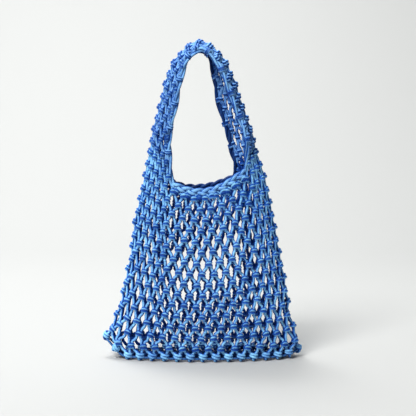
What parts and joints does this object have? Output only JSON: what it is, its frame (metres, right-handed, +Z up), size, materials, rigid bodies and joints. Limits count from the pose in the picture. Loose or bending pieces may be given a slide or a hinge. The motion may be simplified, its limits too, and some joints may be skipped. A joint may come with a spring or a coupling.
{
  "type": "knotted net tote bag",
  "caption": "Open diamond-net tote bag knotted from soft blue cotton cord, with a net shoulder strap, twisted edge cords and a flat net base.",
  "frame": {"origin": "middle of the base, on the surface that the bag stands on", "axes": "+X to the right across the front, +Y from the front to the back, +Z up through the strap"},
  "size_m": [0.3199, 0.0936, 0.5153],
  "materials": {
    "net_wall": "matt knitted tubular cotton cord, mid blue, paler along its top and dark navy in the knots",
    "net_strap": "matt knitted tubular cotton cord, mid blue, paler along its top and dark navy in the knots",
    "net_base": "matt knitted tubular cotton cord, mid blue, paler along its top and dark navy in the knots",
    "base_cord": "matt knitted tubular cotton cord, mid blue, paler along its top and dark navy in the knots",
    "edge_cord_front": "matt knitted tubular cotton cord, mid blue, paler along its top and dark navy in the knots",
    "edge_cord_back": "matt knitted tubular cotton cord, mid blue, paler along its top and dark navy in the knots"
  },
  "bodies": {
    "root": {"net_front_low": "net_wall", "net_front_high": "net_wall", "net_right_low": "net_wall", "net_right_high": "net_wall", "net_back_low": "net_wall", "net_back_high": "net_wall", "net_left_low": "net_wall", "net_left_high": "net_wall", "net_strap": "net_strap", "net_base": "net_base", "base_cord": "base_cord", "edge_cord_front": "edge_cord_front", "edge_cord_back": "edge_cord_back"}
  },
  "joints": []
}
